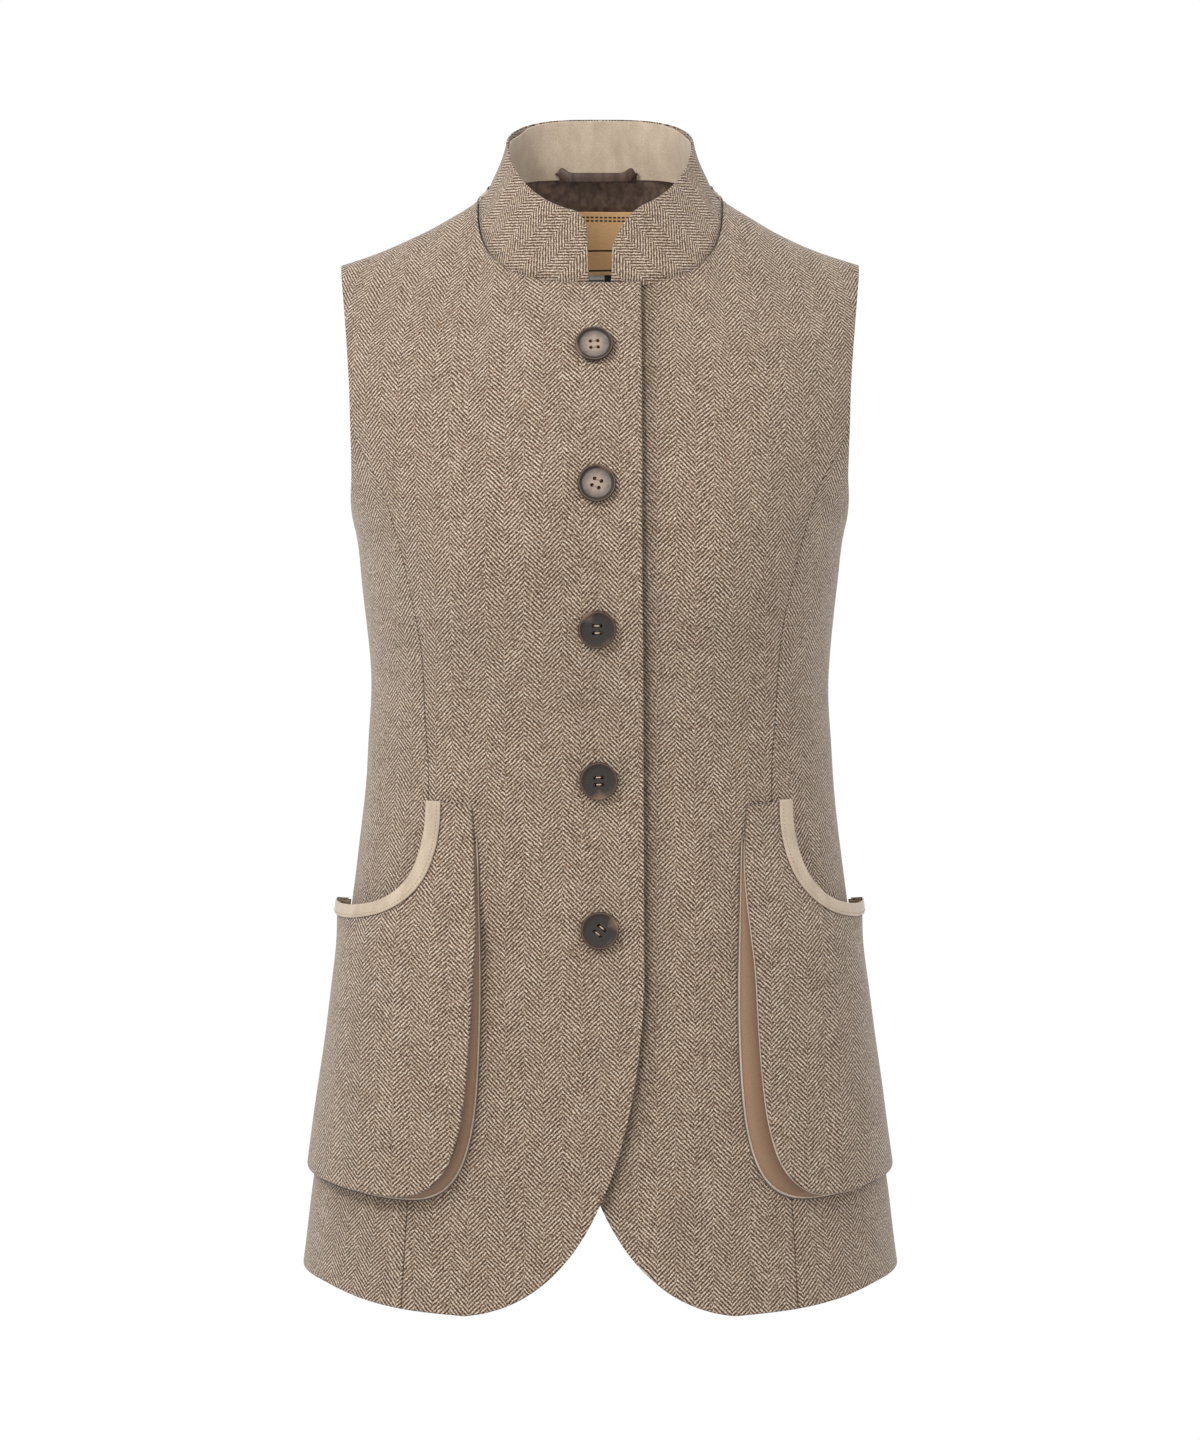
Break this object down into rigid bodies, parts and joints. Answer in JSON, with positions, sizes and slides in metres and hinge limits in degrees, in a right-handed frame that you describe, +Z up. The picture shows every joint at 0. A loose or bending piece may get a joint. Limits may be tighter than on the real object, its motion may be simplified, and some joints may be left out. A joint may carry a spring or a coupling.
{
  "type": "suit waistcoat",
  "caption": "Fitted sleeveless tweed waistcoat with a stand collar, buttoned front, cutaway hem and bellows pockets, filled out as worn.",
  "frame": {"origin": "midway between the two sides of the neck, where the shoulder seams meet the collar, on the wearer's middle plane", "axes": "+Z up, -Y out of the front, +X towards the wearer's left"},
  "size_m": [0.4198, 0.2787, 0.8159],
  "materials": {
    "tweed": "herringbone wool tweed in cream and brown",
    "suede": "beige brushed cotton",
    "satin": "dark brown lining satin",
    "label": "tan woven ribbon with plain dark lines",
    "white_tape": "white woven tape",
    "dark_tape": "dark woven tape",
    "horn_light": "grey-brown horn effect, satin",
    "horn_dark": "dark horn effect, satin"
  },
  "bodies": {
    "root": {"front_right": "tweed", "side_front_right": "tweed", "back_right": "tweed", "pocket_face_right": "tweed", "pocket_gusset_right": "suede", "pocket_trim_right": "suede", "front_left": "tweed", "side_front_left": "tweed", "back_left": "tweed", "pocket_face_left": "tweed", "pocket_gusset_left": "suede", "pocket_trim_left": "suede", "collar": "tweed", "collar_facing": "suede", "back_lining": "satin", "hanger_loop": "satin", "label": "label", "size_tab": "white_tape", "care_tab": "dark_tape", "button_1": "horn_light", "button_2": "horn_light", "button_3": "horn_dark", "button_4": "horn_dark", "button_5": "horn_dark"}
  },
  "joints": []
}
